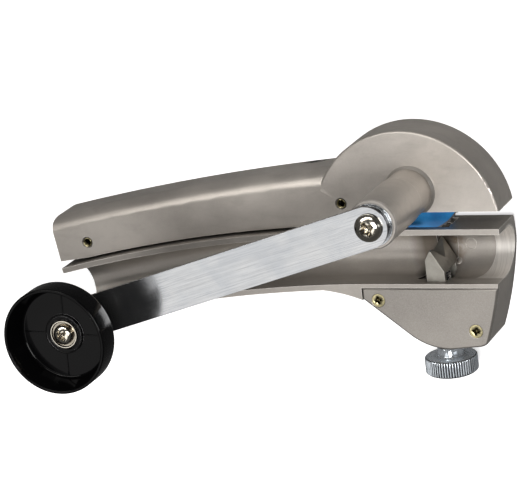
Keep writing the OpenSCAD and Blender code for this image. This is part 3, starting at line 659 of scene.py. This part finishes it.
def thumb_head():
    """Knurled head with a bevelled rim and a filleted neck."""
    low, high = span_mm("clamp_knob", 1)
    grooves, per_groove = 60, 8
    head_r, groove_depth, neck_r = 12.2, 0.55, 5.9
    levels = [(0.0, 0.01), (0.0, 4.0), (0.35, 8.6), (0.0, 9.4), (0.0, 10.9), (0.25, 11.35), (0.95, 12.2),
              (1.2, 13.0), (7.2, 13.0), (7.55, 12.05), (7.9, 11.65), (8.0, 11.2), (8.0, 7.3), (8.1, 6.5),
              (8.5, 6.0), (8.9, neck_r), (12.1, neck_r), (12.4, neck_r - 0.3), (high - low, 4.6),
              (high - low, 3.99), (2.2, 3.99), (2.2, 0.01)]
    bm = bmesh.new()
    count = grooves * per_groove
    rings = []
    for z, limit in levels:
        ring = []
        for i in range(count):
            phase = (i % per_groove) / per_groove
            tooth = head_r - groove_depth * (0.5 + 0.5 * math.cos(2 * math.pi * phase)) ** 1.6
            radius = min(limit, tooth)
            angle = 2 * math.pi * i / count
            ring.append(bm.verts.new((radius * math.cos(angle) * MM, radius * math.sin(angle) * MM, z * MM)))
        rings.append(ring)
    for a, b in zip(rings, rings[1:]):
        for i in range(count):
            j = (i + 1) % count
            bm.faces.new((a[i], a[j], b[j], b[i]))
    bmesh.ops.remove_doubles(bm, verts=bm.verts, dist=WELD_KNURL)
    bmesh.ops.holes_fill(bm, edges=bm.edges, sides=0)
    bmesh.ops.recalc_face_normals(bm, faces=bm.faces)
    place(bm, shift_mm(0, low) @ TO_CLAMP)
    return new_object("clamp_knob_detailed", bm, 50)


stand_in(thumb_head(), "clamp_knob", CHROME_ZINC)
stud_low, stud_high = span_mm("clamp_stud", 1)
stud = threaded_rod(3.95, 1.25, stud_low, stud_high, 40)
stand_in(new_object("clamp_stud_threaded", place(stud, TO_CLAMP), 40), "clamp_stud", TURNED_ZINC)

# ---------------------------------------------------------------- knob

KNOB_AT = centre_of("crank_knob") / MM


def knob_cup():
    low, high = span_mm("crank_knob", 2)
    floor_z = high - KNOB_DEPTH
    profile = [(4.03, low), (8.1, low), (8.5, low + 0.4)]
    profile += [(8.5, floor_z - 7.0)] + arc(12.5, floor_z - 7.0, 4.0, 180, 115, 6)
    profile += [(21.2, floor_z - 1.5)] + arc(21.9, floor_z + 1.0, 2.8, -75, 0, 7)
    profile += arc(24.05, high - 0.65, 0.65, 0, 90, 5) + [(23.75, high)]
    profile += arc(23.6, high - 0.5, 0.5, 90, 170, 4)
    profile += [(21.05, floor_z + 1.3)] + arc(19.9, floor_z + 1.2, 1.2, 0, -90, 6)[1:]
    profile += [(9.3, floor_z)] + arc(8.8, floor_z + 0.9, 0.35, 20, 160, 4)
    profile += [(7.3, floor_z + 1.15), (7.0, floor_z + 1.0), (6.9, floor_z), (4.03, floor_z)]
    return lathe(profile, 128, close=True)


def floor_ribs():
    """Thin moulded ribs across the cup's floor."""
    count, start_deg = 4, -3.0
    floor_z = span_mm("crank_knob", 2)[1] - KNOB_DEPTH
    bm = bmesh.new()
    for index in range(count):
        turn = Matrix.Rotation(math.radians(start_deg + 360.0 * index / count), 4, "Z")
        base = [(9.0, -0.45, -0.2), (20.2, -0.45, -0.2), (20.2, 0.45, -0.2), (9.0, 0.45, -0.2)]
        crest = [(9.0, -0.22, 0.3), (19.8, -0.22, 0.3), (19.8, 0.22, 0.3), (9.0, 0.22, 0.3)]
        a, b = ([bm.verts.new(turn @ (Vector((x, y, floor_z + z)) * MM)) for x, y, z in ring]
                for ring in (base, crest))
        for i in range(4):
            bm.faces.new((a[i], a[(i + 1) % 4], b[(i + 1) % 4], b[i]))
        bm.faces.new(a)
        bm.faces.new(b)
    bmesh.ops.recalc_face_normals(bm, faces=bm.faces)
    return bm


TO_KNOB = shift_mm(KNOB_AT.x, KNOB_AT.y)
stand_in(new_object("crank_knob_detailed", place(knob_cup(), TO_KNOB), 40), "crank_knob", BLACK)
ribs = bevel(new_object("crank_knob_ribs", place(floor_ribs(), TO_KNOB), 30), 0.08)
finish_piece(ribs, BODY["crank_knob"], SLOT["crank_knob"], BLACK_RIBS)


# ---------------------------------------------------------------- casting details

def on_channel_wall(bm, wall_r, lift_mm):
    """Bends a flat piece drawn round the origin onto the channel's back wall."""
    for vert in bm.verts:
        across = vert.co.y / MM - CHANNEL_Y
        vert.co.z += (CHANNEL_Z - math.sqrt(wall_r ** 2 - across ** 2) + lift_mm) * MM
    return bm


def cast_mark(name, bm, lift_mm, smooth_deg):
    obj = new_object(name, on_channel_wall(bm, RELIEF_R, lift_mm), smooth_deg)
    finish_piece(obj, BODY["trough_body"], SLOT["trough_body"], CAST_TROUGH)


RELIEF_R = 12.7
ring = lathe([(2.35, -0.1), (2.5, 0.1), (2.7, 0.1), (2.85, -0.1)], 48, close=True)
place(ring, shift_mm(19.3, -31.1))
cast_mark("ejector_mark", ring, 0.05, 60)
blob = lathe([(0, 0.42), (0.5, 0.36), (0.95, 0.2), (1.3, 0.02), (1.45, -0.12), (0, -0.12)], 32)
place(blob, shift_mm(13.6, -38.3))
cast_mark("casting_blob", blob, 0.0, 80)

# ---------------------------------------------------------------- camera

# FIT_T places the camera fit's own origin in front of the lens. FIT_SHIFT is the CAD origin seen from there.
FOCAL, FRAME_W = 2582.0, 522.0  # in the same unit
SENSOR = 36.0
AZ, EL, ROLL = (math.radians(a) for a in (24.03, 16.21, -7.31))
FIT_T = Vector((76.73, -19.63, 1187.9))
FIT_SHIFT = Vector((3.1646, 16.4997, 8.0))
to_eye = Vector((math.sin(AZ) * math.cos(EL), math.sin(EL), math.cos(AZ) * math.cos(EL)))
level = (-to_eye).cross(Vector((0, 1, 0))).normalized()
upright = level.cross(-to_eye)
right = math.cos(ROLL) * level + math.sin(ROLL) * upright
up = -math.sin(ROLL) * level + math.cos(ROLL) * upright
turn = Matrix((right, -up, -to_eye))
eye = (-(turn.transposed() @ FIT_T) - FIT_SHIFT) * MM
camera = bpy.data.objects.new("camera", bpy.data.cameras.new("camera"))
scene.collection.objects.link(camera)
camera.data.lens = FOCAL * SENSOR / FRAME_W
camera.data.sensor_width = SENSOR
camera.data.sensor_fit = "HORIZONTAL"
camera.data.clip_start = 0.05
camera.data.clip_end = 20.0
camera.matrix_world = Matrix.Translation(eye) @ Matrix((right, up, to_eye)).transposed().to_4x4()
scene.camera = camera

# ---------------------------------------------------------------- studio

AIM = Vector((-0.06, -0.03, 0.03))
FLOOR_DROP = 0.0001
floor_bm = bmesh.new()
bmesh.ops.create_grid(floor_bm, x_segments=8, y_segments=8, size=3.0)
floor = new_object("floor", place(floor_bm, Matrix.Translation((0, 0, -FLOOR_DROP))))
floor_finish = Finish("floor_paper", Metallic=0.0, Roughness=0.85, Emission_Color=(1, 1, 1, 1),
                      Emission_Strength=0.6)
paper = floor_finish.noise(0.4, 3)
floor_finish.link("Base Color", floor_finish.mix(floor_finish.band(paper, 0.3, 0.7), (0.90, 0.90, 0.90),
                                                 (0.92, 0.92, 0.92)))
dress(floor, floor_finish.material)
floor.visible_glossy = False


def softbox(name, at, size, watts, colour):
    """Rectangular lamp that faces the middle of the tool."""
    lamp = bpy.data.lights.new(name, "AREA")
    lamp.shape = "RECTANGLE"
    lamp.size, lamp.size_y = size
    lamp.energy = watts
    lamp.color = colour
    obj = bpy.data.objects.new(name, lamp)
    obj.location = at
    obj.rotation_euler = (AIM - Vector(at)).to_track_quat("-Z", "Y").to_euler()
    scene.collection.objects.link(obj)


softbox("key", (-0.1, 1.0, 1.1), (0.8, 0.4), 4.0, (1.0, 0.975, 0.94))
softbox("strip", (-0.62, 0.74, 1.06), (0.9, 0.28), 5.5, (1.0, 0.98, 0.95))
softbox("front", (-0.4, -0.42, 1.3), (1.1, 1.0), 4.3, (1.0, 0.99, 0.98))
softbox("side", (1.25, 0.1, 0.8), (0.3, 0.7), 0.7, (0.95, 0.975, 1.0))
softbox("fill", (0.2, 0.03, 0.85), (0.3, 0.3), 4.6, (1.0, 0.985, 0.97))

world = bpy.data.worlds.new("studio")
world.use_nodes = True
scene.world = world
sky = world.node_tree
aim = sky.nodes.new("ShaderNodeTexCoord")
split = sky.nodes.new("ShaderNodeSeparateXYZ")
sky.links.new(aim.outputs["Generated"], split.inputs[0])
ramp = sky.nodes.new("ShaderNodeValToRGB")
stops = ((0.0, 0.12), (0.35, 0.11), (0.55, 0.06), (0.80, 0.05), (1.0, 0.06))
for position, _ in stops[1:-1]:
    ramp.color_ramp.elements.new(position)
for element, (position, grey) in zip(ramp.color_ramp.elements, stops):
    element.position = position
    element.color = (grey, grey * 0.995, grey * 0.99, 1)
sky_height = sky.nodes.new("ShaderNodeMapRange")
sky.links.new(split.outputs[2], sky_height.inputs["Value"])
sky_height.inputs["From Min"].default_value = -1.0
sky.links.new(sky_height.outputs[0], ramp.inputs[0])
background = sky.nodes["Background"]
sky.links.new(ramp.outputs[0], background.inputs["Color"])
background.inputs["Strength"].default_value = 1.0

scene.view_settings.view_transform = "Standard"
scene.view_settings.look = "None"
scene.view_settings.exposure = 0.0
